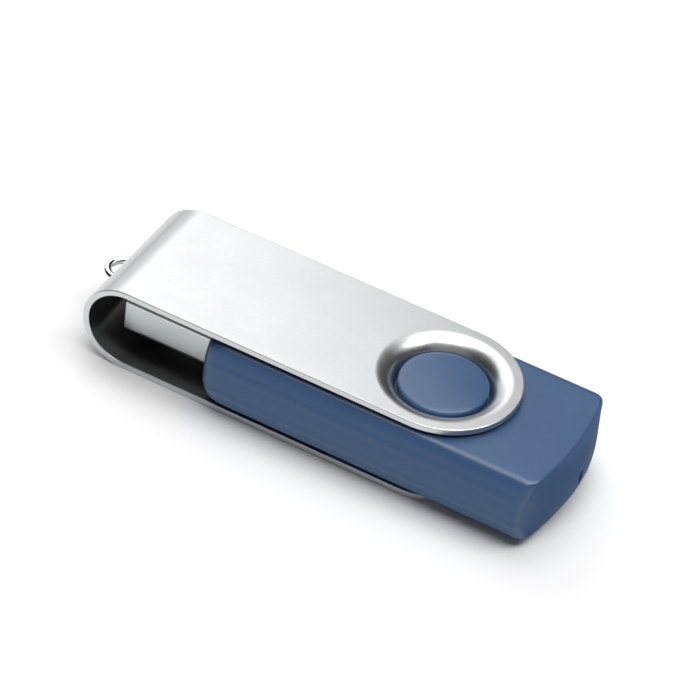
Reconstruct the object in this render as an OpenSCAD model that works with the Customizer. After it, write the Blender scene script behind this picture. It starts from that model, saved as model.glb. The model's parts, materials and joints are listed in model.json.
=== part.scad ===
// USB flash drive with a swivel cover.
// The drive lies flat: X runs along it with the plug towards -X, Y runs across it,
// and Z is up, along the pivot axis. The origin is the middle of its footprint.
// A bent sheet metal cover turns on two round buttons that are pressed into a
// two-part plastic body. The body holds the plug and a populated circuit board.

/* [Swivel cover] */
// Width of the sheet metal cover, which is also the diameter of its round end
cover_w = 18; // [17.8:0.1:20]
// Height over both plates
cover_h = 11; // [10.8:0.1:12]
// Distance from the pivot axis to the outside of the bend
cover_reach = 41.5; // [41:0.5:46]
// Thickness of the sheet metal
sheet_t = 0.8; // [0.6:0.1:0.9]
// Radius where the dish around the pivot hole starts
dish_r = 7.1; // [6.8:0.1:7.1]
// Depth of the dish
dish_depth = 1.1; // [0.8:0.1:1.2]

/* [Key loop] */
// Diameter of the wire
wire_d = 1; // [0.8:0.1:1.2]
// Radius of the loop, to the middle of the wire
loop_r = 2.45; // [2.2:0.05:2.8]
// Height of the loop above the middle of the bend
loop_lift = 0.7; // [0:0.1:1]

/* [Body] */
// Width of the plastic body
body_w = 20.5; // [20.1:0.1:20.8]
// Distance from the pivot axis to the front face, where the plug comes out
body_nose = 25.8; // [25.4:0.1:26.2]
// Distance from the pivot axis to the rear end
body_tail = 18; // [17.8:0.1:19]
// Gap between the body and each plate of the cover
body_gap = 0.2; // [0.1:0.05:0.3]
// Wall thickness
wall = 1.1; // [0.9:0.1:1.2]
// Rounding of the long edges
edge_r = 3; // [2.6:0.1:3.4]
// Radius of the rear end, seen from above
tail_r = 20; // [19:1:26]

/* [Pivot] */
// Radius of the two pivot buttons
button_r = 5.2; // [5:0.05:5.3]
// How far a button's face lies below the outside of the cover
button_drop = 0.7; // [0.5:0.1:0.9]
// Running clearance between a button and the hole in the cover
pivot_fit = 0.08; // [0.03:0.01:0.1]

/* [USB plug] */
// Width of the plug's shell
plug_w = 12; // [12:0.1:12]
// Height of the plug's shell
plug_h = 4.5; // [4.5:0.1:4.5]
// Length of the plug in front of the body
plug_out = 11.8; // [11.8:0.1:12.2]
// Distance from the body's middle height down to the plug's middle height
plug_drop = 0.4; // [0:0.1:0.5]

/* [Circuit board] */
// Width of the board
board_w = 16; // [15.6:0.1:16.2]
// Thickness of the board
board_t = 0.8; // [0.6:0.1:1]

/* [Hidden] */
$fn = 96;

body_blue = [0.24, 0.32, 0.45];
satin_steel = [0.80, 0.81, 0.82];
plug_steel = [0.70, 0.72, 0.73];
chrome = [0.90, 0.91, 0.92];
gold = [0.86, 0.68, 0.32];
board_green = [0.05, 0.32, 0.18];
chip_black = [0.08, 0.08, 0.09];
solder_grey = [0.66, 0.67, 0.69];

// Places along the drive
loop_reach = loop_r + wire_d / 2;
tail_x = (loop_reach + cover_reach + body_tail) / 2;
pivot_x = tail_x - body_tail;
nose_x = pivot_x - body_nose;
bend_x = pivot_x - cover_reach;
tip_x = nose_x - plug_out;

// Heights
mid_z = cover_h / 2;
body_z = sheet_t + body_gap;
body_h = cover_h - 2 * body_z;
plug_z = mid_z - plug_drop;

// Cover
bend_r = cover_h / 2;
bend_axis_x = bend_x + bend_r;
hub_r = button_r + pivot_fit;
dish_flat = 0.7;
leg_fit = 0.05;
head_r = 0.8;
head_t = 0.4;
loop_z = mid_z + loop_lift;

// Body
tail_bulge_r = 9;
nose_edge_r = 1.6;
nose_corner_r = 2.4;
tail_corner_r = 1;
tail_edge_r = 0.4;
cavity_w = body_w - 2 * wall - 0.1;
rear_wall = wall + 0.2;
pocket_r = 7.5;
pocket_floor = mid_z + body_h / 2 - 1.25;
boss_z = pocket_floor - 0.75;
stem_r = 1.8;
stem_fit = 0.04;
plug_fit = 0.05;
pin_r = 0.55;
pin_boss_r = 1;
pin_l = 1.4;
pin_y = cavity_w / 2 - 1.1;
pin_places = [[nose_x + wall + 1.1, pin_y], [tail_x - 4.1, pin_y - 0.7]];
slot_w = 0.9;
slot_h = 1.8;
slot_z = mid_z - 0.25;

// Plug
plug_sheet = 0.3;
plug_corner_r = 0.6;
plug_len = plug_out + 6.4;
plug_end_x = tip_x + plug_len;
leg_l = 2.2;
leg_h = 2.4;
window_l = 2;
window_w = 2.5;
window_x = 5.16;
window_y = 2.85;
mouth_w = plug_w - 2 * plug_sheet;
mouth_h = plug_h - 2 * plug_sheet;
mouth_z = plug_z - mouth_h / 2;
tongue_h = mouth_h / 2;
base_x = tip_x + 9.6;

// Contacts, board and parts
contact_w = 1;
contact_t = 0.2;
contact_y = [-3.5, -1, 1, 3.5];
contact_x = [1.6, 2.6, 2.6, 1.6];
board_z = mouth_z + tongue_h - 0.1 - board_t;
board_top = board_z + board_t;
board_x = plug_end_x + 0.1;
board_front_x = plug_end_x - 2.6;
board_front_w = mouth_w - 0.4;
board_end_x = tail_x - 2.8;
board_tab_x = board_end_x - 2.8;
board_tab_w = 10.4;
tail_pad_l = 2;
lead_w = 0.22;
lead_t = 0.15;
lead_pitch = 0.5;
flash_size = [18.4, 12, 1];
flash_x = pivot_x + 0.4;
flash_leads = 24;
controller_size = [7, 7, 1.3];
controller_x = pivot_x - 12.6;
controller_leads = 12;

// A rectangle with rounded corners, centred
module rounded_rect(w, h, r) {
    square([w - 2 * r, h], center = true);
    square([w, h - 2 * r], center = true);
    for (x = [-1, 1], y = [-1, 1])
        translate([x * (w / 2 - r), y * (h / 2 - r)])
            circle(r);
}

// A block with its low corner at [x, z] and centred on y = 0 or on a given y
module block(x, z, size, y = 0) {
    translate([x, y - size[1] / 2, z])
        cube(size);
}

// Draws its children again, turned over about the body's middle height
module turned_over() {
    translate([0, 0, cover_h])
        mirror([0, 0, 1])
            children();
}

// A flat shape drawn in Y and Z, pulled along X from x for a length
module along_x(x, length, z) {
    translate([x, 0, z])
        rotate([90, 0, 90])
            linear_extrude(length)
                children();
}

// ---------- cover ----------

// The dished ring around the pivot hole, as a section in radius and height
module dish_section() {
    low = cover_h - dish_depth;
    slope_r = hub_r + dish_flat;
    fold = 0.4 * sheet_t;
    polygon([
        [hub_r, low], [slope_r, low], [dish_r, cover_h],
        [pocket_r, cover_h], [pocket_r, cover_h - sheet_t],
        [dish_r + fold, cover_h - sheet_t],
        [slope_r + fold, low - sheet_t], [hub_r, low - sheet_t]]);
}

// One flat plate with its round end and its dished pivot hole
module cover_plate() {
    difference() {
        union() {
            translate([bend_axis_x, -cover_w / 2, cover_h - sheet_t])
                cube([pivot_x - bend_axis_x, cover_w, sheet_t]);
            translate([pivot_x, 0, cover_h - sheet_t])
                cylinder(h = sheet_t, d = cover_w);
        }
        translate([pivot_x, 0, cover_h - 2 * sheet_t])
            cylinder(h = 3 * sheet_t, r = pocket_r);
    }
    translate([pivot_x, 0, 0])
        rotate_extrude()
            dish_section();
}

module swivel_cover() {
    color(satin_steel)
    difference() {
        union() {
            cover_plate();
            turned_over()
                cover_plate();
            translate([bend_axis_x, cover_w / 2, mid_z])
                rotate([90, 0, 0])
                    difference() {
                        cylinder(h = cover_w, r = bend_r);
                        translate([0, 0, -1])
                            cylinder(h = cover_w + 2, r = bend_r - sheet_t);
                        translate([0, -2 * bend_r, -1])
                            cube([2 * bend_r, 4 * bend_r, cover_w + 2]);
                    }
        }
        for (side = [-1, 1])
            translate([bend_x - 1, side * loop_r, loop_z])
                rotate([0, 90, 0])
                    cylinder(h = 4, r = wire_d / 2 + leg_fit);
    }
}

// A half ring of wire whose two legs go through the bend and are peened over inside
module key_loop() {
    color(chrome) {
        translate([bend_x, 0, loop_z])
            rotate([0, 0, 90])
                rotate_extrude(angle = 180)
                    translate([loop_r, 0])
                        circle(wire_d / 2);
        for (side = [-1, 1]) {
            translate([bend_x, side * loop_r, loop_z])
                rotate([0, 90, 0])
                    cylinder(h = sheet_t + head_t, d = wire_d);
            intersection() {
                translate([bend_x + sheet_t - head_t, side * loop_r, loop_z])
                    rotate([0, 90, 0])
                        cylinder(h = 2 * head_t, r = head_r);
                translate([bend_axis_x, cover_w / 2, mid_z])
                    rotate([90, 0, 0])
                        cylinder(h = cover_w, r = bend_r - sheet_t);
            }
        }
    }
}

// ---------- body ----------

// The rear end as a section in radius and height, turned about the end's own centre
module tail_section() {
    intersection() {
        translate([0, mid_z])
            rounded_rect(2 * tail_r, body_h, tail_edge_r);
        translate([tail_r - tail_bulge_r, mid_z])
            circle(tail_bulge_r);
        translate([0, body_z])
            square([tail_r, body_h]);
    }
}

// The body seen from above: a rounded front, and rear corners that run smoothly from
// the sides into the curved rear end
module body_plan() {
    length = tail_x - nose_x;
    corner_y = body_w / 2 - tail_corner_r;
    corner_x = sqrt(pow(tail_r - tail_corner_r, 2) - pow(corner_y, 2)) + tail_x - tail_r;
    end_w = 2 * corner_y * tail_r / (tail_r - tail_corner_r);
    intersection() {
        translate([nose_x + length, 0])
            rounded_rect(2 * length, body_w, nose_corner_r);
        union() {
            translate([corner_x + tail_corner_r - length, 0])
                rounded_rect(2 * length, body_w, tail_corner_r);
            translate([nose_x, -end_w / 2])
                square([length, end_w]);
        }
    }
}

// Everything in front of the rear end's own centre
module front_part() {
    block(nose_x, body_z, [tail_x - tail_r - nose_x, body_w, body_h]);
}

// The whole outside of the body as one solid
module body_form() {
    length = tail_x - nose_x;
    intersection() {
        along_x(nose_x, length, mid_z)
            rounded_rect(body_w, body_h, edge_r);
        union() {
            front_part();
            translate([tail_x - tail_r, 0, 0])
                rotate_extrude()
                    tail_section();
        }
        translate([0, 0, body_z])
            linear_extrude(body_h)
                body_plan();
        translate([0, body_w / 2, 0])
            rotate([90, 0, 0])
                linear_extrude(body_w)
                    translate([nose_x + length, mid_z])
                        rounded_rect(2 * length, body_h, nose_edge_r);
    }
}

// The hollow inside the body
module cavity() {
    intersection() {
        along_x(nose_x + wall, tail_x - nose_x, mid_z)
            rounded_rect(cavity_w, body_h - 2 * wall, edge_r - wall);
        union() {
            front_part();
            translate([tail_x - tail_r, 0, 0])
                cylinder(h = cover_h, r = tail_r - rear_wall);
        }
    }
}

// One half of the body, on the upper side: an outer wall, a boss for the pivot button,
// and openings that both halves share
module shell_half() {
    difference() {
        union() {
            difference() {
                body_form();
                cavity();
            }
            intersection() {
                body_form();
                translate([pivot_x, 0, boss_z])
                    cylinder(h = body_h, r = pocket_r + 0.6);
            }
        }
        translate([nose_x - 1, -body_w, -cover_h + mid_z])
            cube([2 * tail_x, 2 * body_w, cover_h]);
        translate([pivot_x, 0, pocket_floor])
            cylinder(h = body_h, r = pocket_r);
        translate([pivot_x, 0, mid_z])
            cylinder(h = body_h, r = stem_r + stem_fit);
    }
}

// The hole in the front wall for the plug and the slot in the rear wall for the light
module end_openings() {
    along_x(nose_x - 1, wall + 2, plug_z)
        rounded_rect(plug_w + 2 * plug_fit, plug_h + 2 * plug_fit, plug_corner_r);
    along_x(tail_x - wall - 1, wall + 2, slot_z)
        rounded_rect(slot_w, slot_h, slot_w / 4);
}

// Four posts for the locating pins, from height z up to height top
module pin_posts(z, top, r) {
    for (place = pin_places, side = [-1, 1])
        translate([place[0], side * place[1], z])
            cylinder(h = top - z, r = r);
}

// Two rails that hold the long edges of the board between height z and height top
module board_rails(z, top) {
    for (side = [-1, 1])
        block(board_x + 4, z, [board_tab_x - board_x - 5, 1.6, top - z], side * (cavity_w / 2 - 0.8));
}

module upper_shell() {
    color(body_blue)
    difference() {
        union() {
            shell_half();
            board_rails(mid_z, body_z + body_h - wall);
            pin_posts(mid_z, body_z + body_h - wall, pin_boss_r);
        }
        end_openings();
        pin_posts(mid_z - 1, mid_z + pin_l + 0.2, pin_r + 0.05);
        translate([pivot_x, 0, pocket_floor])
            cylinder(h = body_h, r = pocket_r);
    }
}

module lower_shell() {
    color(body_blue)
    difference() {
        union() {
            turned_over()
                shell_half();
            board_rails(body_z + wall, board_z);
            pin_posts(body_z + wall, mid_z, pin_boss_r);
            pin_posts(body_z + wall, mid_z + pin_l, pin_r);
        }
        end_openings();
        translate([pivot_x, 0, cover_h - pocket_floor - body_h])
            cylinder(h = body_h, r = pocket_r);
    }
}

// A disc that stands in the pocket of a shell, with a barbed stem pressed through it
module pivot_button() {
    face_z = cover_h - button_drop;
    barb_t = 0.5;
    color(body_blue)
    translate([pivot_x, 0, 0]) {
        rotate_extrude()
            intersection() {
                translate([0, face_z - button_r])
                    rounded_rect(2 * button_r, 2 * button_r, 0.35);
                translate([0, pocket_floor])
                    square([button_r, body_h]);
            }
        translate([0, 0, boss_z - barb_t])
            cylinder(h = pocket_floor - boss_z + barb_t, r = stem_r);
        translate([0, 0, boss_z - barb_t])
            cylinder(h = barb_t, r1 = stem_r, r2 = stem_r + 0.2);
    }
}

module top_pivot_button() {
    pivot_button();
}

module bottom_pivot_button() {
    turned_over()
        pivot_button();
}

// A small window of dark clear plastic that carries the light to the rear wall
module light_pipe() {
    flange_t = 0.5;
    flange_x = tail_x - rear_wall - 0.1 - flange_t;
    recess = 0.25;
    color([0.10, 0.12, 0.16]) {
        block(flange_x, slot_z - 1.3, [flange_t, 2.2, 2.6]);
        along_x(flange_x + flange_t, rear_wall + 0.1 - recess, slot_z)
            rounded_rect(slot_w - 0.06, slot_h - 0.06, slot_w / 4);
    }
}

// ---------- plug ----------

// A folded steel tube with two latch windows above and below, and two board legs
module usb_plug_shell() {
    color(plug_steel)
    difference() {
        union() {
            along_x(tip_x, plug_len, plug_z)
                difference() {
                    rounded_rect(plug_w, plug_h, plug_corner_r);
                    rounded_rect(mouth_w, mouth_h, plug_corner_r - plug_sheet);
                }
            for (side = [-1, 1])
                block(plug_end_x - 0.5, board_z + board_t / 2 - leg_h / 2,
                    [leg_l + 0.5, plug_sheet, leg_h], side * (plug_w - plug_sheet) / 2);
        }
        for (side = [-1, 1])
            block(tip_x + window_x, plug_z - plug_h, [window_l, window_w, 2 * plug_h],
                side * window_y);
    }
}

// One contact's strip, from its front end to its pad on the board
module contact_strip(i) {
    front = tip_x + contact_x[i];
    block(front, board_top, [board_front_x + tail_pad_l - front, contact_w, contact_t], contact_y[i]);
}

// The tongue that carries the contacts, and the block that fills the back of the shell
module usb_insulator() {
    tongue_x = tip_x + 0.3;
    color([0.93, 0.93, 0.90])
    difference() {
        intersection() {
            along_x(tongue_x, board_front_x - tongue_x, plug_z)
                rounded_rect(mouth_w, mouth_h, plug_corner_r - plug_sheet);
            union() {
                block(tongue_x - 1, mouth_z - 1, [plug_len, plug_w, tongue_h + 1]);
                block(base_x, mouth_z - 1, [plug_len, plug_w, plug_h + 1]);
            }
        }
        for (i = [0 : 3])
            contact_strip(i);
    }
}

module contact(i) {
    color(gold)
        contact_strip(i);
}

// ---------- board and its parts ----------

module circuit_board() {
    color(board_green)
    difference() {
        union() {
            block(board_front_x, board_z, [board_x - board_front_x + 1, board_front_w, board_t]);
            block(board_x, board_z, [board_tab_x - board_x, board_w, board_t]);
            block(board_tab_x - 1, board_z, [board_end_x - board_tab_x + 1, board_tab_w, board_t]);
        }
        for (side = [-1, 1])
            block(board_x - 1, board_z - 1, [leg_l + 1.1, plug_sheet + 0.3, board_t + 2],
                side * (plug_w - plug_sheet) / 2);
    }
}

// One bent lead: a foot on the board, a rise and a shoulder, drawn outwards along X
// from the chip's side, with the board at z = 0 and the shoulder at height rise
module lead(rise, reach) {
    foot = 0.5;
    translate([0, lead_w / 2, 0])
        rotate([90, 0, 0])
            linear_extrude(lead_w)
                polygon([
                    [0, rise - lead_t], [reach - foot - lead_t, rise - lead_t],
                    [reach - foot - lead_t, 0], [reach, 0], [reach, lead_t],
                    [reach - foot, lead_t], [reach - foot, rise], [0, rise]]);
}

// A row of leads along Y at the chip's +X side
module lead_row(count, x, rise, reach) {
    for (i = [0 : count - 1])
        translate([x, (i - (count - 1) / 2) * lead_pitch, 0])
            lead(rise, reach);
}

module flash_memory_chip() {
    color(chip_black)
        block(flash_x - flash_size[0] / 2, board_top + 0.1, flash_size);
}

module flash_chip_leads() {
    color(solder_grey)
    translate([flash_x, 0, board_top])
        for (turn = [0, 180])
            rotate([0, 0, turn])
                lead_row(flash_leads, flash_size[0] / 2, 0.6, 0.8);
}

// The controller hangs under the board
module controller_chip() {
    color(chip_black)
        block(controller_x - controller_size[0] / 2, board_z - 0.1 - controller_size[2],
            controller_size);
}

module controller_chip_leads() {
    color(solder_grey)
    translate([controller_x, 0, board_z])
        for (turn = [0 : 90 : 270])
            rotate([180, 0, turn])
                lead_row(controller_leads, controller_size[0] / 2, 0.8, 1);
}

// A metal can on a flat base, under the board
module crystal_oscillator() {
    base_t = 0.3;
    can_h = 1;
    color([0.82, 0.80, 0.74])
    translate([pivot_x + 10.4, 0, board_z - base_t]) {
        linear_extrude(base_t)
            rounded_rect(3.2, 5, 0.3);
        translate([0, 0, -can_h])
            linear_extrude(can_h)
                rounded_rect(2.8, 4.6, 0.5);
    }
}

// A row of surface-mount blocks on top of the board
module block_row(x, ys, size) {
    for (y = ys)
        block(x, board_top, size, y);
}

module ceramic_capacitors() {
    color([0.72, 0.62, 0.48]) {
        block_row(pivot_x - 12.4, [-5, -3, 3, 5], [0.8, 1.6, 0.8]);
        block_row(pivot_x + 11.2, [-3.6], [0.8, 1.6, 0.8]);
    }
}

module chip_resistors() {
    color([0.14, 0.14, 0.15]) {
        block_row(pivot_x - 14.2, [-2.2, 0, 2.2], [0.8, 1.6, 0.5]);
        block_row(pivot_x + 11.2, [3.6], [0.8, 1.6, 0.5]);
    }
}

module ferrite_bead() {
    color([0.25, 0.25, 0.27])
        block_row(pivot_x - 14.4, [5], [1, 2, 0.9]);
}

// A side-looking light with a round lens towards the rear
module status_led() {
    size = [0.7, 2, 0.9];
    x = board_end_x - 1.4;
    color([0.85, 0.88, 0.95]) {
        block(x, board_top, size);
        translate([x + size[0], 0, board_top])
            difference() {
                cylinder(h = size[2], r = 0.6);
                translate([-1, -1, -1])
                    cube([1, 2, 3]);
            }
    }
}

// Solder at the ends of the contacts and round the two board legs
module solder_joints() {
    pad_l = 1.2;
    leg_x = board_x + leg_l / 2;
    leg_y = (plug_w - plug_sheet) / 2;
    color(solder_grey) {
        difference() {
            for (y = contact_y)
                block(board_front_x + tail_pad_l - pad_l + 0.3, board_top, [pad_l, 1.3, 0.3], y);
            for (i = [0 : 3])
                contact_strip(i);
        }
        difference() {
            for (side = [-1, 1], z = [board_z - 0.3, board_top])
                block(leg_x - 0.7, z, [1.2, 1.2, 0.3], side * leg_y);
            for (side = [-1, 1])
                block(leg_x - 2, board_z - 1, [4, plug_sheet, 3], side * leg_y);
        }
    }
}

swivel_cover();
key_loop();
upper_shell();
lower_shell();
top_pivot_button();
bottom_pivot_button();
usb_plug_shell();
usb_insulator();
contact(0);  // contact_vbus
contact(1);  // contact_data_minus
contact(2);  // contact_data_plus
contact(3);  // contact_ground
circuit_board();
flash_memory_chip();
flash_chip_leads();
controller_chip();
controller_chip_leads();
crystal_oscillator();
ceramic_capacitors();
chip_resistors();
ferrite_bead();
status_led();
light_pipe();
solder_joints();
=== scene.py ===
"""Looks of a USB flash drive with a swivel cover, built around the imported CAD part.

Lengths are millimetres until a mesh or the camera is made, when they become metres. The
lights alone are given in metres.
"""
import json
import math

import bmesh
import bpy
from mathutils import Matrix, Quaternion, Vector


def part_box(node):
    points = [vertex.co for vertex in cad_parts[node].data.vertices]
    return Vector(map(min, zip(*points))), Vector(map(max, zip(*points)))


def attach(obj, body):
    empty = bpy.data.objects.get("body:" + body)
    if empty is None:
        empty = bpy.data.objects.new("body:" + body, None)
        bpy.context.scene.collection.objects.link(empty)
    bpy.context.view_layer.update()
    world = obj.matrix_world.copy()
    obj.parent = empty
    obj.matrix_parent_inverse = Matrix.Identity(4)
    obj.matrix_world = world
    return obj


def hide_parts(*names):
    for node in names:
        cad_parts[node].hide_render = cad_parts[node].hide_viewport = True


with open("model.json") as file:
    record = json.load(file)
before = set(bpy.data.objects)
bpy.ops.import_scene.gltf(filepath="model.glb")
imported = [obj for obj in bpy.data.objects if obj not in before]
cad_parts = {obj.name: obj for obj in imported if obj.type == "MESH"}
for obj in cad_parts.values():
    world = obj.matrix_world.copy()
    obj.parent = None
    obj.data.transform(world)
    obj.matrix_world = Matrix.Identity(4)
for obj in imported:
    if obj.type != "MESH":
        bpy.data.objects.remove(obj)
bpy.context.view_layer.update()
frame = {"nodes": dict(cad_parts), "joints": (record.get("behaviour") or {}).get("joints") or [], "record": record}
MM = 0.001


# ---------- the CAD's measures ----------

def box_mm(*nodes):
    """The lowest and highest corners of some CAD nodes together, in millimetres."""
    boxes = [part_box(n) for n in nodes]
    low = [min(b[0][i] for b in boxes) / MM for i in range(3)]
    high = [max(b[1][i] for b in boxes) / MM for i in range(3)]
    return low, high


COVER_LOW, COVER_HIGH = box_mm("swivel_cover")
BODY_LOW, BODY_HIGH = box_mm("upper_shell", "lower_shell")
BUTTON_LOW, BUTTON_HIGH = box_mm("top_pivot_button")
LOOP_LOW, LOOP_HIGH = box_mm("key_loop")
PLUG_LOW, PLUG_HIGH = box_mm("usb_plug_shell")
PIPE_LOW, PIPE_HIGH = box_mm("light_pipe")

PIVOT_X = frame["joints"][0]["pos_m"][0] / MM
MID_Z = (COVER_LOW[2] + COVER_HIGH[2]) / 2
BUTTON_R = BUTTON_HIGH[1]

# The cover's sheet, and its half round bend, whose outside reaches BEND_X.
SHEET = 0.8
BEND_R = COVER_HIGH[2] - MID_Z
BEND_X = COVER_LOW[0]
BEND_AXIS_X = BEND_X + BEND_R

# The key loop, which is smaller and lower in the photo than in the CAD, by these amounts.
LOOP_SMALLER, LOOP_LOWER = 0.6, 0.5
WIRE_R = 0.5
HEAD_R = (LOOP_HIGH[2] - LOOP_LOW[2]) / 2
LOOP_R = LOOP_HIGH[1] - HEAD_R - LOOP_SMALLER
LOOP_Z = (LOOP_LOW[2] + LOOP_HIGH[2]) / 2 - LOOP_LOWER

# The round pocket under each button: its radius, and its floor's height above the middle.
POCKET_R = 7.5
POCKET_H = 3.25


# ---------- camera ----------

def direction(azimuth, elevation):
    """The unit vector towards an azimuth, counted from -Y towards +X, and an elevation."""
    a = math.radians(azimuth)
    e = math.radians(elevation)
    return Vector((math.sin(a) * math.cos(e), -math.cos(a) * math.cos(e), math.sin(e)))


def look_from(azimuth, elevation, roll, distance, target, lens):
    """Makes the camera. It looks at a point, and is turned about its own axis by roll."""
    back = direction(azimuth, elevation)
    data = bpy.data.cameras.new("camera")
    data.lens = lens
    data.clip_start = 0.01
    data.clip_end = 100
    cam = bpy.data.objects.new("camera", data)
    bpy.context.scene.collection.objects.link(cam)
    cam.rotation_mode = "QUATERNION"
    facing = (-back).to_track_quat("-Z", "Y")
    cam.rotation_quaternion = facing @ Quaternion((0, 0, 1), -math.radians(roll))
    cam.location = Vector(target) * MM + back * distance * MM
    bpy.context.scene.camera = cam


look_from(
    azimuth=22.84, elevation=40.73, roll=-8.60, distance=425.8, target=(-0.3, 4.0, 5.0), lens=191.1
)


# ---------- materials ----------

class Graph:
    """A material's node tree, with short calls for the nodes that this script uses."""

    # A Mix node's colour sockets share their names with its others, so they go by number.
    MIX_A, MIX_B, MIX_RESULT = 6, 7, 2

    def __init__(self, name):
        self.material = bpy.data.materials.new(name)
        self.material.use_nodes = True
        self.tree = self.material.node_tree
        self.shader = self.tree.nodes["Principled BSDF"]
        self.coords = self.tree.nodes.new("ShaderNodeTexCoord").outputs["Object"]

    def link(self, source, target):
        self.tree.links.new(source, target)

    def stretched(self, scale):
        """The piece's own coordinates, scaled along each axis."""
        node = self.tree.nodes.new("ShaderNodeMapping")
        node.inputs["Scale"].default_value = scale
        self.link(self.coords, node.inputs["Vector"])
        return node.outputs["Vector"]

    def noise(self, size_mm, detail=3.0, stretch=(1, 1, 1)):
        """Noise whose lumps are about size_mm across, drawn out where stretch is under 1."""
        node = self.tree.nodes.new("ShaderNodeTexNoise")
        node.inputs["Scale"].default_value = 1 / (size_mm * MM)
        node.inputs["Detail"].default_value = detail
        node.inputs["Roughness"].default_value = 0.55
        self.link(self.stretched(stretch), node.inputs["Vector"])
        return node.outputs["Fac"]

    def ranged(self, source, low, high, to_low, to_high):
        """A value with its stretch from low to high moved to that from to_low to to_high."""
        node = self.tree.nodes.new("ShaderNodeMapRange")
        node.inputs["From Min"].default_value = low
        node.inputs["From Max"].default_value = high
        node.inputs["To Min"].default_value = to_low
        node.inputs["To Max"].default_value = to_high
        self.link(source, node.inputs["Value"])
        return node.outputs["Result"]

    def combined(self, operation, a, b, clamp=True):
        """The result of a Math node on two other nodes' values."""
        node = self.tree.nodes.new("ShaderNodeMath")
        node.operation = operation
        node.use_clamp = clamp
        self.link(a, node.inputs[0])
        self.link(b, node.inputs[1])
        return node.outputs["Value"]

    def attribute(self, name):
        """The value of a mesh attribute, or 0 on a mesh that hasn't got it."""
        node = self.tree.nodes.new("ShaderNodeAttribute")
        node.attribute_name = name
        return node.outputs["Fac"]

    def facing(self, axis):
        """How squarely a surface faces along an axis, whichever way, from 0 to 1."""
        normal = self.tree.nodes.new("ShaderNodeTexCoord").outputs["Normal"]
        split = self.tree.nodes.new("ShaderNodeSeparateXYZ")
        self.link(normal, split.inputs["Vector"])
        part = split.outputs[axis]
        return self.combined("MULTIPLY", part, part, clamp=False)

    def blend(self, factor, a, b):
        """A colour between a and b, which are colours or other nodes' outputs."""
        node = self.tree.nodes.new("ShaderNodeMix")
        node.data_type = "RGBA"
        self.link(factor, node.inputs["Factor"])
        for socket, value in ((node.inputs[self.MIX_A], a), (node.inputs[self.MIX_B], b)):
            if isinstance(value, tuple):
                socket.default_value = (*value, 1)
            else:
                self.link(value, socket)
        return node.outputs[self.MIX_RESULT]

    def bump(self, height, distance_mm, strength, normal=None):
        """A normal for a fine relief, on top of another one if given."""
        node = self.tree.nodes.new("ShaderNodeBump")
        node.inputs["Distance"].default_value = distance_mm * MM
        node.inputs["Strength"].default_value = strength
        self.link(height, node.inputs["Height"])
        if normal is not None:
            self.link(normal, node.inputs["Normal"])
        return node.outputs["Normal"]

    def set(self, **values):
        """Sets or links the shader's sockets: Base_Color stands for Base Color."""
        for key, value in values.items():
            socket = self.shader.inputs[key.replace("_", " ")]
            if isinstance(value, bpy.types.NodeSocket):
                self.link(value, socket)
            else:
                socket.default_value = value


def satin_steel():
    """Fine grained steel sheet, with the rolling direction along X and faint rubbing. Its inner
    faces round the bend and between the plates are painted darker, as painted shade."""
    g = Graph("satin_steel")
    grain = g.noise(0.09, 4, stretch=(0.12, 1, 1))
    speckle = g.noise(0.05, 2)
    clouds = g.noise(9, 3)
    rubbed = g.noise(1.6, 5, stretch=(0.3, 1.4, 1))
    tone = g.combined("MULTIPLY", g.ranged(grain, 0.3, 0.7, 0.2, 1), clouds)
    brushed = g.blend(tone, (0.575, 0.59, 0.595), (0.70, 0.71, 0.71))
    g.set(
        # Painted shade: the cover's inner faces get a dark grey in place of the brushed steel colour.
        Base_Color=g.blend(g.attribute("inside"), brushed, (0.24, 0.24, 0.235)),
        Metallic=1.0,
        Roughness=g.ranged(rubbed, 0.3, 0.75, 0.285, 0.345),
        Normal=g.bump(speckle, 0.002, 0.12, g.bump(grain, 0.0015, 0.12)),
    )
    return g.material


def chrome_wire():
    """Polished plating over drawn wire."""
    g = Graph("chrome_wire")
    drawn = g.noise(0.12, 3)
    g.set(
        Base_Color=g.blend(g.noise(1.2), (0.80, 0.81, 0.82), (0.93, 0.93, 0.93)),
        Metallic=1.0,
        Roughness=g.ranged(drawn, 0.3, 0.7, 0.05, 0.16),
        Normal=g.bump(drawn, 0.003, 0.25),
    )
    return g.material


def blue_plastic():
    """Moulded plastic with a spark-eroded grain. The sides are painted lighter than the top,
    as painted light, and are less glossy; the nose and the rear end are the dullest."""
    g = Graph("blue_plastic")
    ends = g.facing("X")
    painted_light_sides = g.ranged(g.facing("Y"), 0.3, 0.9, 0, 0.8)
    grain = g.noise(0.12, 2)
    fine = g.noise(0.04, 2)
    clouds = g.noise(6, 3)
    handled = g.noise(2.2, 5)
    # Painted light: the side-facing surfaces get a lighter colour than the top.
    tone = g.combined("ADD", painted_light_sides, g.combined("MULTIPLY", clouds, handled))
    rough = g.ranged(handled, 0.3, 0.75, 0.285, 0.345)
    gloss = g.ranged(ends, 0.45, 0.9, 0.65, 0.1)
    g.set(
        Base_Color=g.blend(tone, (0.034, 0.077, 0.166), (0.051, 0.112, 0.234)),
        Roughness=g.combined("ADD", rough, g.ranged(ends, 0.45, 0.9, 0, 0.3)),
        Specular_IOR_Level=g.combined("SUBTRACT", gloss, g.ranged(painted_light_sides, 0, 0.8, 0, 0.34)),
        Normal=g.bump(grain, 0.002, 0.1, g.bump(fine, 0.001, 0.1)),
    )
    return g.material


def plug_steel():
    """Bright plated strip with faint rolling lines along the plug and dull patches."""
    g = Graph("plug_steel")
    lines = g.noise(0.07, 3, stretch=(0.05, 1, 1))
    dull = g.noise(5, 2, stretch=(0.4, 1, 1))
    g.set(
        Base_Color=g.blend(dull, (0.57, 0.61, 0.615), (0.64, 0.68, 0.68)),
        Metallic=1.0,
        Roughness=g.ranged(dull, 0.3, 0.75, 0.285, 0.33),
        Normal=g.bump(lines, 0.002, 0.2),
    )
    return g.material


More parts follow.
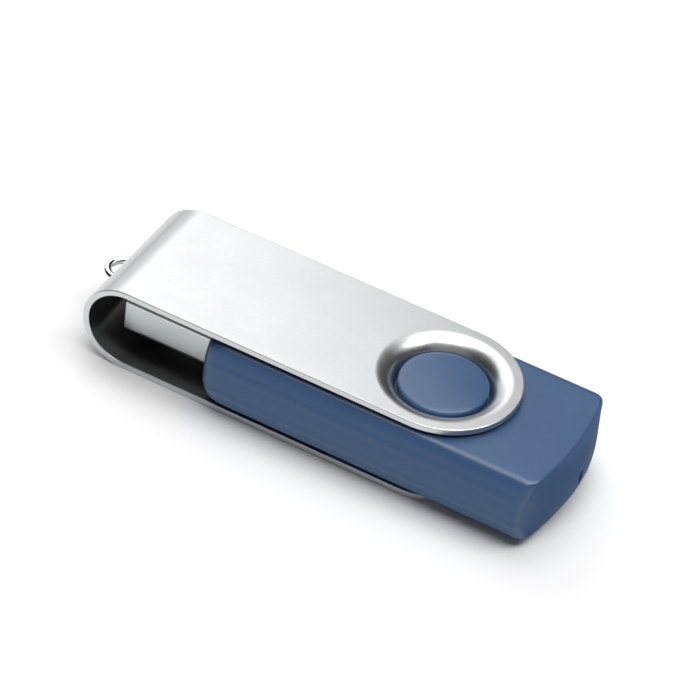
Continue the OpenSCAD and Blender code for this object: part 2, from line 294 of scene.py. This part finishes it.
def board_green():
    """Solder mask over a fine glass weave."""
    g = Graph("board_green")
    across = g.noise(0.22, 1, stretch=(0.1, 1, 1))
    along = g.noise(0.22, 1, stretch=(1, 0.1, 1))
    weave = g.combined("MAXIMUM", across, along)
    g.set(
        Base_Color=g.blend(g.noise(3, 3), (0.012, 0.120, 0.055), (0.030, 0.210, 0.100)),
        Roughness=g.ranged(weave, 0.4, 0.8, 0.22, 0.36),
        Normal=g.bump(weave, 0.006, 0.4),
        Coat_Weight=0.4,
    )
    return g.material


def gold_contact():
    """Plated strip, with a rubbed track along each contact."""
    g = Graph("gold_contact")
    track = g.noise(0.09, 3, stretch=(0.04, 1, 1))
    spots = g.noise(0.8, 4)
    g.set(
        Base_Color=g.blend(spots, (0.72, 0.50, 0.17), (0.90, 0.70, 0.33)),
        Metallic=1.0,
        Roughness=g.ranged(track, 0.3, 0.7, 0.14, 0.30),
        Normal=g.bump(track, 0.003, 0.4),
    )
    return g.material


def floor_white():
    """Matt paper in two close whites."""
    g = Graph("floor_white")
    g.set(
        Base_Color=g.blend(g.noise(40, 2), (0.86, 0.86, 0.86), (0.88, 0.88, 0.88)),
        Roughness=1.0,
        Specular_IOR_Level=0.0,
    )
    return g.material


def plain(name, dark, light, rough, metal=0.0, lump=1.5, relief=0.003):
    """Two close tones in lumps of a size, with changing roughness and a fine grain."""
    g = Graph(name)
    patches = g.noise(lump, 4)
    fine = g.noise(0.06, 3)
    tone = g.combined("MULTIPLY", patches, g.ranged(fine, 0.2, 0.8, 0.7, 1))
    g.set(
        Base_Color=g.blend(tone, dark, light),
        Roughness=g.ranged(patches, 0.3, 0.7, rough[0], rough[1]),
        Normal=g.bump(fine, relief, 0.4),
        Metallic=metal,
    )
    return g.material


PLAIN_FINISHES = {
    "white_plastic": dict(dark=(0.70, 0.69, 0.64), light=(0.86, 0.86, 0.82), rough=(0.34, 0.46)),
    "chip_black": dict(
        dark=(0.012, 0.012, 0.013), light=(0.035, 0.035, 0.037), rough=(0.45, 0.62), relief=0.006
    ),
    "solder": dict(
        dark=(0.42, 0.43, 0.45), light=(0.68, 0.69, 0.70), rough=(0.24, 0.42), metal=1.0, lump=0.4
    ),
    "crystal_can": dict(
        dark=(0.55, 0.53, 0.47), light=(0.75, 0.73, 0.67), rough=(0.24, 0.36), metal=1.0
    ),
    "capacitor_tan": dict(
        dark=(0.30, 0.21, 0.12), light=(0.46, 0.35, 0.22), rough=(0.38, 0.52), lump=0.5
    ),
    "resistor_black": dict(
        dark=(0.015, 0.015, 0.018), light=(0.05, 0.05, 0.055), rough=(0.3, 0.45), lump=0.5
    ),
    "ferrite_grey": dict(
        dark=(0.06, 0.06, 0.065), light=(0.13, 0.13, 0.14), rough=(0.4, 0.55), lump=0.6
    ),
    "led_lens": dict(
        dark=(0.62, 0.68, 0.78), light=(0.78, 0.83, 0.92), rough=(0.12, 0.22), lump=0.7, relief=0.002
    ),
    "smoked_window": dict(
        dark=(0.004, 0.005, 0.009), light=(0.012, 0.014, 0.022), rough=(0.10, 0.2), relief=0.001
    ),
}

MATERIALS = {
    "satin_steel": satin_steel(),
    "chrome_wire": chrome_wire(),
    "blue_plastic": blue_plastic(),
    "plug_steel": plug_steel(),
    "gold_contact": gold_contact(),
    "board_green": board_green(),
    "floor_white": floor_white(),
}
for finish_name, finish in PLAIN_FINISHES.items():
    MATERIALS[finish_name] = plain(finish_name, **finish)


# ---------- making meshes ----------

# Points closer than this are merged. Edges that turn by more degrees than this stay sharp.
MERGE = 0.002
SHARP = 40

# A cutter starts this far outside the piece that it cuts.
START = 1


def smooth(mesh, sharp):
    """Shades a mesh smooth, but not across edges that turn by more than sharp degrees."""
    mesh.polygons.foreach_set("use_smooth", [True] * len(mesh.polygons))
    mesh.set_sharp_from_angle(angle=math.radians(sharp))


def make_piece(name, points, faces, slot, body=None, node=None, sharp=SHARP):
    """A mesh from points in millimetres, with points that coincide merged. It rides on a
    body and stands for a CAD node where these are given."""
    bm = bmesh.new()
    verts = [bm.verts.new([c * MM for c in p]) for p in points]
    for face in faces:
        bm.faces.new([verts[i] for i in face])
    bmesh.ops.remove_doubles(bm, verts=bm.verts, dist=MERGE * MM)
    bmesh.ops.recalc_face_normals(bm, faces=bm.faces)
    mesh = bpy.data.meshes.new(name)
    bm.to_mesh(mesh)
    bm.free()
    mesh.materials.append(MATERIALS[slot])
    piece = bpy.data.objects.new(name, mesh)
    bpy.context.scene.collection.objects.link(piece)
    smooth(mesh, sharp)
    if body:
        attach(piece, body)
        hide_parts(node)
    return piece


def circle(r, n):
    """n points round a circle about the origin."""
    return [
        (r * math.cos(2 * math.pi * k / n), r * math.sin(2 * math.pi * k / n)) for k in range(n)
    ]


def arc(cx, cy, r, start, end, steps):
    """Points on an arc, with both ends, angles in degrees."""
    return [
        (cx + r * math.cos(math.radians(start + (end - start) * i / steps)),
         cy + r * math.sin(math.radians(start + (end - start) * i / steps)))
        for i in range(steps + 1)
    ]


def straight(start, end, steps):
    """Points on a line, with its start and without its end."""
    return [
        (start[0] + (end[0] - start[0]) * i / steps, start[1] + (end[1] - start[1]) * i / steps)
        for i in range(steps)
    ]


def strip_faces(rows, columns, closed):
    """Quads between neighbouring rows of points, each row columns long."""
    last = columns if closed else columns - 1
    return [
        (r * columns + c, r * columns + (c + 1) % columns,
         (r + 1) * columns + (c + 1) % columns, (r + 1) * columns + c)
        for r in range(rows - 1)
        for c in range(last)
    ]


def rings(rows, cap_first=False, cap_last=False):
    """A skin over rings of points, with flat caps where asked."""
    columns = len(rows[0])
    points = [p for row in rows for p in row]
    faces = strip_faces(len(rows), columns, True)
    if cap_first:
        faces.append(tuple(range(columns)))
    if cap_last:
        faces.append(tuple(range(len(points) - columns, len(points))))
    return points, faces


def bar(ring, x0, x1):
    """A closed bar along X over a ring of (y, z) points."""
    return rings([[(x, y, z) for y, z in ring] for x in (x0, x1)], True, True)


def joined(*parts):
    """Several (points, faces) pairs as one."""
    points = []
    faces = []
    for part_points, part_faces in parts:
        start = len(points)
        points += part_points
        faces += [tuple(i + start for i in f) for f in part_faces]
    return points, faces


def apply_modifiers(piece):
    """Replaces a piece's mesh with what its modifiers make of it."""
    dg = bpy.context.evaluated_depsgraph_get()
    mesh = bpy.data.meshes.new_from_object(piece.evaluated_get(dg), depsgraph=dg)
    piece.modifiers.clear()
    piece.data = mesh


def cut(piece, shape):
    """Takes a closed shape away from a piece."""
    cutter = make_piece("cutter", *shape, "satin_steel")
    modifier = piece.modifiers.new("cut", "BOOLEAN")
    modifier.operation = "DIFFERENCE"
    modifier.solver = "EXACT"
    modifier.object = cutter
    apply_modifiers(piece)
    bpy.data.objects.remove(cutter)


# ---------- swivel cover ----------

COVER_R = COVER_HIGH[1]
SHEET_EDGE = 0.13

# Steps round the bend, and along the straight stretch of each plate.
BEND_STEPS = 48
RUN_STEPS = 18

# The dish: from DISH_R inwards the sheet folds down on a radius of DISH_FOLD until it
# slopes by DISH_SLOPE, and it ends HUB_GAP away from the button.
HUB_GAP = 0.08
HUB_R = BUTTON_R + HUB_GAP
DISH_R = 7.9
DISH_FOLD = 2.5
DISH_SLOPE = math.radians(66)
DISH_MARGIN = 0.05
DISH_STEPS = 40

# Points round each plate. A quarter of them lie on the side that the strip joins.
PLATE_SIDES = 128

# Rings between the dish and the plate's outline, as shares of the way.
PLATE_SHARES = (0.3, 0.65, 1.0)

# The holes for the wire's legs.
HOLE_GAP = 0.05
HOLE_DEPTH = 2.2
HOLE_SIDES = 32

# A face is marked as inside, where painted shade goes, up to this distance past the sheet's
# inner surface, and only while less than this much of its normal lies along Y.
INSIDE_MARGIN = 0.01
INSIDE_TURN = 0.3


def dish_drop(r):
    """How far the sheet's outside lies below the plate, at a distance from the pivot: a
    soft fold that ends in a short straight slope beside the button."""
    inward = max(DISH_R - r, 0)
    bent = DISH_FOLD * math.sin(DISH_SLOPE)
    if inward < bent:
        return DISH_FOLD - math.sqrt(DISH_FOLD ** 2 - inward ** 2)
    drop = DISH_FOLD * (1 - math.cos(DISH_SLOPE))
    return drop + (inward - bent) * math.tan(DISH_SLOPE)


def plate_outline():
    """The plate's outer points about the pivot: half a disc, then half a square."""
    quarter = PLATE_SIDES // 4
    eighth = PLATE_SIDES // 8
    r = COVER_R
    disc = circle(r, PLATE_SIDES)
    square = straight((0, r), (-r, r), eighth)
    square += straight((-r, r), (-r, -r), quarter)
    square += straight((-r, -r), (0, -r), eighth)
    return disc[:quarter] + square + disc[3 * quarter:]


def plate_rows():
    """Rings of (x, y, drop) about the pivot, from the hub's hole out to the outline."""
    dish_end = DISH_R + DISH_MARGIN
    rows = []
    for i in range(DISH_STEPS + 1):
        r = HUB_R + (dish_end - HUB_R) * i / DISH_STEPS
        rows.append([(x, y, dish_drop(r)) for x, y in circle(r, PLATE_SIDES)])
    for share in PLATE_SHARES:
        rows.append([
            (x0 * (1 - share) + x1 * share, y0 * (1 - share) + y1 * share, 0)
            for (x0, y0), (x1, y1) in zip(circle(dish_end, PLATE_SIDES), plate_outline())
        ])
    return rows


def plate(way):
    """The upper (1) or lower (-1) plate round the pivot, with its dish."""
    return rings([
        [(PIVOT_X + x, y, MID_Z + way * (BEND_R - drop)) for x, y, drop in row]
        for row in plate_rows()
    ])


def bent_strip():
    """The straight stretches of both plates and the bend between them."""
    across = PLATE_SIDES // 4
    ys = [COVER_R * (1 - 2 * k / across) for k in range(across + 1)]
    top = COVER_HIGH[2]
    bottom = COVER_LOW[2]
    run = straight((PIVOT_X - COVER_R, top), (BEND_AXIS_X, top), RUN_STEPS)
    path = run + arc(BEND_AXIS_X, MID_Z, BEND_R, 90, 270, BEND_STEPS)
    path += [(x, bottom) for x, _ in reversed(run)]
    points = [(x, y, z) for x, z in path for y in ys]
    return points, strip_faces(len(path), len(ys), False)


def face_upwards(piece):
    """Turns an open sheet's faces over if those of its highest part look down."""
    mesh = piece.data
    top = max(mesh.polygons, key=lambda p: p.center.z)
    if top.normal.z < 0:
        mesh.flip_normals()


def thicken(piece):
    """Gives the sheet its thickness, inwards."""
    modifier = piece.modifiers.new("thick", "SOLIDIFY")
    modifier.thickness = SHEET * MM
    modifier.offset = -1
    modifier.use_even_offset = True
    apply_modifiers(piece)


def cut_loop_holes(piece):
    """Two round holes in the bend for the wire's legs."""
    cutters = []
    for side in (-1, 1):
        hole = [
            (side * LOOP_R + y, LOOP_Z + z) for y, z in circle(WIRE_R + HOLE_GAP, HOLE_SIDES)
        ]
        cutters.append(bar(hole, BEND_X - START, BEND_X + HOLE_DEPTH))
    cut(piece, joined(*cutters))


def round_edges(piece):
    """Rounds the sheet's cut edges."""
    modifier = piece.modifiers.new("edge", "BEVEL")
    modifier.width = SHEET_EDGE * MM
    modifier.segments = 4
    modifier.limit_method = "ANGLE"
    modifier.angle_limit = math.radians(50)
    modifier.use_clamp_overlap = False
    modifier.harden_normals = True
    modifier.miter_outer = "MITER_ARC"
    apply_modifiers(piece)


def mark_painted_shade(piece):
    """Marks the faces on the cover's inside, which are painted dark as painted shade, but not its rim or its
    dishes.
    """
    marks = piece.data.attributes.new("inside", "FLOAT", "FACE")
    deepest = BEND_R - SHEET + INSIDE_MARGIN
    for face, mark in zip(piece.data.polygons, marks.data):
        x, _, z = face.center / MM
        depth = math.hypot(min(x - BEND_AXIS_X, 0), z - MID_Z)
        within = depth < deepest and x < PIVOT_X - COVER_R
        mark.value = float(within and abs(face.normal.y) < INSIDE_TURN)


def swivel_cover():
    """The bent strip of sheet with its dished plates."""
    points, faces = joined(plate(1), plate(-1), bent_strip())
    piece = make_piece("cover_sheet", points, faces, "satin_steel", "cover", "swivel_cover")
    face_upwards(piece)
    thicken(piece)
    cut_loop_holes(piece)
    round_edges(piece)
    mark_painted_shade(piece)


# ---------- key loop ----------

# The wire's end, spread like a rivet: pairs of distance inside the bend and radius.
SPREAD_END = (
    (0.40, 0.12), (0.385, 0.42), (0.32, 0.66), (0.22, 0.78), (0.08, 0.80), (0.03, 0.72), (0.0, WIRE_R)
)
WIRE_SIDES = 24
LOOP_STEPS = 48


def tube(path):
    """A skin over (point, direction, radius) steps of a path that lies level."""
    rows = []
    for (x, y), (dx, dy), r in path:
        rows.append([
            (x - dy * r * c, y + dx * r * c, LOOP_Z + r * s) for c, s in circle(1, WIRE_SIDES)
        ])
    return rings(rows, True, True)


def key_loop():
    """A half ring of wire that goes through the bend and is spread behind it."""
    inside = BEND_X + SHEET
    path = [((inside + x, LOOP_R), (-1, 0), r) for x, r in SPREAD_END]
    for x, y in arc(0, 0, 1, 90, 270, LOOP_STEPS):
        path.append(((BEND_X + LOOP_R * x, LOOP_R * y), (-y, x), WIRE_R))
    path += [((inside + x, -LOOP_R), (1, 0), r) for x, r in reversed(SPREAD_END)]
    make_piece("wire_loop", *tube(path), "chrome_wire", "cover", "key_loop")


# ---------- body ----------

# The body's flat faces lie this much lower than the CAD's, for a wider gap under the plates.
FACE_LOWER = 0.2
HALF_H = BODY_HIGH[2] - MID_Z - FACE_LOWER
HALF_W = BODY_HIGH[1]
NOSE_X, TAIL_X = BODY_LOW[0], BODY_HIGH[0]
WALL = 1.1

# Upright section of each wall: the radius of its bulge, and of its upper and lower edges.
SIDE_BULGE, SIDE_EDGE = 9, 1.1
TAIL_BULGE, TAIL_EDGE = 9, 0.4
NOSE_BULGE, NOSE_EDGE = 120, 1.6

# A faint ridge along each side: its height above the middle, half its width, its depth.
RIDGE_H, RIDGE_HALF, RIDGE_OUT = 1.75, 0.75, 0.09

# Plan: the rear end's radius at the middle and at the top, and the corners' radii.
TAIL_MID_R, TAIL_TOP_R = 19, 40
TAIL_CORNER, NOSE_CORNER = 1.4, 2.4
LEAST_CORNER = 0.2

# Steps along each stretch of half the outline, from the rear end's middle to the nose's.
TAIL_STEPS, TAIL_CORNER_STEPS, SIDE_STEPS, NOSE_CORNER_STEPS, NOSE_STEPS = 18, 10, 30, 8, 12

# Steps up the side, degrees between the levels round the edges, and the least gap.
HEIGHT_STEPS = 28
SIDE_EDGE_TURN, TAIL_EDGE_TURN = 6, 10
LEAST_LEVEL = 0.012

# How far the flat top's first ring draws in from its outline, as shares.
TOP_IN_X, TOP_IN_Y = 0.006, 0.015

# The pivot pocket: its rounded rim, floor and wall, and the hole for the button's stem.
RIM_R = 0.1
RIM_STEPS = 3
RIM_MARGIN = 0.12
POCKET_FLOOR = 0.75
POCKET_WALL = 0.6
STEM_HOLE_R = 1.84

# The hole for the plug, and the upright slot of the status light.
PLUG_GAP = 0.05
PLUG_HOLE_CORNER = 0.62
PLUG_HOLE_DEPTH = 2
SLOT_HALF_W, SLOT_HALF_H, SLOT_CORNER = 0.45, 0.9, 0.225
SLOT_DEPTH = 2.5
CORNER_STEPS = 6

SHELL_SHARP = 42


def inset(h, bulge, edge):
    """How far a bulging wall with a rounded edge has drawn in, h above the middle."""
    edge_h = HALF_H - edge
    centre = math.sqrt((bulge - edge) ** 2 - edge_h ** 2)
    meet = edge_h * bulge / (bulge - edge)
    if h <= meet:
        return bulge - math.sqrt(bulge ** 2 - h ** 2)
    return bulge - centre - math.sqrt(max(edge ** 2 - (h - edge_h) ** 2, 0))


def ridge(h):
    """How far the faint ridge stands out of the side, h above the middle."""
    away = abs(h - RIDGE_H) / RIDGE_HALF
    return RIDGE_OUT * (1 + math.cos(math.pi * away)) / 2 if away < 1 else 0.0


def outline(h, shrink=0.0):
    """The body's outline at h above the middle, as (x, y) points from the rear end's
    middle round by +Y, the same number of points at every height. The wall's inside is
    the same outline shrunk, without the ridge."""
    w = HALF_W - inset(h, SIDE_BULGE, SIDE_EDGE) - shrink
    if not shrink:
        w += ridge(h)
    rear = TAIL_X - inset(h, TAIL_BULGE, TAIL_EDGE) - shrink
    front = NOSE_X + inset(h, NOSE_BULGE, NOSE_EDGE) + shrink
    rear_r = max(TAIL_CORNER - shrink, LEAST_CORNER)
    front_r = max(NOSE_CORNER - shrink, LEAST_CORNER)
    high = (h / HALF_H) ** 2
    big = 1 / ((1 - high) / TAIL_MID_R + high / TAIL_TOP_R) - shrink
    centre = rear - big
    cy = w - rear_r
    cx = math.sqrt((big - rear_r) ** 2 - cy ** 2)
    turn = math.degrees(math.atan2(cy, cx))
    half = arc(centre, 0, big, 0, turn, TAIL_STEPS)
    half += arc(centre + cx, cy, rear_r, turn, 90, TAIL_CORNER_STEPS)[1:]
    half += straight((centre + cx, w), (front + front_r, w), SIDE_STEPS)[1:]
    half += arc(front + front_r, w - front_r, front_r, 90, 180, NOSE_CORNER_STEPS)
    half += straight((front, w - front_r), (front, 0), NOSE_STEPS)[1:]
    half.append((front, 0))
    return half + [(x, -y) for x, y in reversed(half[1:-1])]


def around_pivot(points, radius):
    """Points on a circle about the pivot, at the directions of the given points, and
    inside them where they come closer than the circle."""
    found = []
    for x, y in points:
        a = math.atan2(y, x - PIVOT_X)
        far = math.hypot(y, x - PIVOT_X) * (1 - TOP_IN_Y)
        r = min(radius, far)
        found.append((PIVOT_X + r * math.cos(a), r * math.sin(a)))
    return found


def edge_levels(edge, turn):
    """Heights above the middle round a wall's upper edge, every turn degrees."""
    start = HALF_H - edge
    return [start + edge * math.sin(math.radians(a)) for a in range(0, 90, turn)]


def body_levels():
    """Heights above the middle at which the body's outline is drawn."""
    side_from = HALF_H - SIDE_EDGE
    levels = [side_from * i / HEIGHT_STEPS for i in range(HEIGHT_STEPS)]
    levels += edge_levels(SIDE_EDGE, SIDE_EDGE_TURN) + edge_levels(TAIL_EDGE, TAIL_EDGE_TURN)
    levels.append(HALF_H)
    kept = []
    for h in sorted(levels):
        if not kept or h - kept[-1] > LEAST_LEVEL:
            kept.append(h)
    kept[-1] = HALF_H
    return kept


def shell_rows():
    """Rings of (x, y, h) over one half of the body: up the outside, down into the pivot
    pocket, and back along the inside to the parting plane."""
    edge = [(x + (PIVOT_X - x) * TOP_IN_X, y * (1 - TOP_IN_Y)) for x, y in outline(HALF_H)]
    inner = outline(0, WALL)
    stem_hole = around_pivot(edge, STEM_HOLE_R)
    pocket_back = around_pivot(inner, POCKET_R + POCKET_WALL)
    underside = POCKET_H - POCKET_FLOOR
    roof = HALF_H - WALL
    steps = [(outline(h), h) for h in body_levels()]
    steps += [(edge, HALF_H), (around_pivot(edge, POCKET_R + RIM_MARGIN), HALF_H)]
    for r, h in arc(POCKET_R + RIM_R, HALF_H - RIM_R, RIM_R, 90, 180, RIM_STEPS):
        steps.append((around_pivot(edge, r), h))
    steps += [
        (around_pivot(edge, POCKET_R), POCKET_H),
        (stem_hole, POCKET_H),
        (stem_hole, underside),
        (pocket_back, underside),
        (pocket_back, roof),
        (inner, roof),
        (inner, 0),
        steps[0],
    ]
    return [[(x, y, h) for x, y in points] for points, h in steps]


def rounded_ring(y_half, z_mid, z_half, r):
    """The (y, z) outline of an upright rectangle with rounded corners."""
    ring = []
    for sy, sz, a in ((1, 1, 0), (-1, 1, 90), (-1, -1, 180), (1, -1, 270)):
        ring += arc(sy * (y_half - r), z_mid + sz * (z_half - r), r, a, a + 90, CORNER_STEPS)
    return ring


def body_shell(name, node, way):
    """The upper (1) or lower (-1) half of the body."""
    rows = [[(x, y, MID_Z + way * h) for x, y, h in row] for row in shell_rows()]
    piece = make_piece(name, *rings(rows), "blue_plastic", "drive", node, SHELL_SHARP)
    plug_mid = (PLUG_LOW[2] + PLUG_HIGH[2]) / 2
    plug_half = (PLUG_HIGH[2] - PLUG_LOW[2]) / 2
    pipe_mid = (PIPE_LOW[2] + PIPE_HIGH[2]) / 2
    plug_hole = rounded_ring(
        PLUG_HIGH[1] + PLUG_GAP, plug_mid, plug_half + PLUG_GAP, PLUG_HOLE_CORNER
    )
    slot = rounded_ring(SLOT_HALF_W, pipe_mid, SLOT_HALF_H, SLOT_CORNER)
    cut(piece, bar(plug_hole, NOSE_X - START, NOSE_X + PLUG_HOLE_DEPTH))
    cut(piece, bar(slot, TAIL_X - SLOT_DEPTH, TAIL_X + START))
    smooth(piece.data, SHELL_SHARP)


# ---------- pivot buttons ----------

BUTTON_EDGE = 0.32
BUTTON_EDGE_STEPS = 8
BUTTON_CROWN = 0.2
BUTTON_SIDES = 128
BUTTON_SHARP = 50
CROWN_RADII = (0.5, 1.5, 2.5, 3.5, 4.3)

# The stem, the barb at its end, and the chamfers of the cap and the barb.
STEM_R = 1.8
BARB_R = 2.0
BARB_H = 0.5
BARB_LIP = 0.02
CHAMFER = 0.1

# The first and last rings, which the flat caps close, are this small.
AXIS_R = 0.02


def pivot_button(name, node, way):
    """A crowned cap with a rounded edge, on a barbed stem that is pressed into its shell:
    the upper (1) or the lower (-1) one."""
    face = BUTTON_HIGH[2] - MID_Z
    low = BUTTON_LOW[2] - MID_Z
    rim = BUTTON_R - BUTTON_EDGE
    profile = [(AXIS_R, face)]
    for r in (*CROWN_RADII, rim - CHAMFER):
        profile.append((r, face - BUTTON_CROWN * (r / BUTTON_R) ** 2))
    edge_h = face - BUTTON_CROWN - BUTTON_EDGE
    profile += arc(rim, edge_h, BUTTON_EDGE, 90, 0, BUTTON_EDGE_STEPS)
    profile += [(BUTTON_R, POCKET_H + CHAMFER), (BUTTON_R - CHAMFER, POCKET_H)]
    profile += [(STEM_R, POCKET_H), (STEM_R, low + BARB_H), (BARB_R, low + BARB_LIP)]
    profile += [(BARB_R - CHAMFER, low), (AXIS_R, low)]
    rows = [
        [(PIVOT_X + x, y, MID_Z + way * z) for x, y in circle(r, BUTTON_SIDES)]
        for r, z in profile
    ]
    skin = rings(rows, True, True)
    make_piece(name, *skin, "blue_plastic", "drive", node, BUTTON_SHARP)


# ---------- floor and light ----------

FLOOR_RADII = (20, 60, 200, 800, 3000)
FLOOR_SIDES = 64


def floor():
    """A plain pale floor, wide enough to fill the view from any side."""
    rows = [[(x, y, 0) for x, y in circle(r, FLOOR_SIDES)] for r in FLOOR_RADII]
    piece = make_piece("floor", *rings(rows, True), "floor_white")


def sky(radiance):
    """The dim room round the drive."""
    world = bpy.data.worlds.new("studio")
    bpy.context.scene.world = world
    world.use_nodes = True
    background = world.node_tree.nodes["Background"]
    background.inputs["Color"].default_value = (1, 1, 1, 1)
    background.inputs["Strength"].default_value = radiance


def softbox(name, azimuth, elevation, distance, size, radiance):
    """A rectangular light that looks at the drive from a direction, in metres."""
    away = direction(azimuth, elevation)
    data = bpy.data.lights.new(name, "AREA")
    data.shape = "RECTANGLE"
    data.size = size[0]
    data.size_y = size[1]
    data.energy = radiance * math.pi * size[0] * size[1]
    lamp = bpy.data.objects.new(name, data)
    lamp.location = away * distance
    lamp.rotation_mode = "QUATERNION"
    lamp.rotation_quaternion = away.to_track_quat("Z", "Y")
    bpy.context.scene.collection.objects.link(lamp)


# ---------- the scene ----------

CAD_SHARP = 30

for part in frame["record"]["subparts"]:
    mesh = frame["nodes"][part["node"]].data
    mesh.materials.clear()
    mesh.materials.append(MATERIALS[part["material_slot"]])
    smooth(mesh, CAD_SHARP)

swivel_cover()
key_loop()
body_shell("body_upper", "upper_shell", 1)
body_shell("body_lower", "lower_shell", -1)
pivot_button("button_upper", "top_pivot_button", 1)
pivot_button("button_lower", "bottom_pivot_button", -1)

floor()
sky(0.03)

# Azimuth, elevation, distance, size and radiance of each softbox.
softbox("top_light", 150, 84, 0.6, (0.56, 0.50), 3.3)
softbox("back_light", 231, 41, 0.6, (0.52, 0.40), 1.8)
softbox("right_light", 105, 56, 0.6, (0.30, 0.20), 4.6)
softbox("left_light", 238, 12, 0.6, (0.40, 0.14), 1.1)
softbox("front_light", 25, 74, 0.6, (0.36, 0.16), 3.2)
softbox("front_fill", 20, 34, 0.8, (1.10, 0.55), 0.24)
bpy.context.scene.view_settings.view_transform = "Standard"
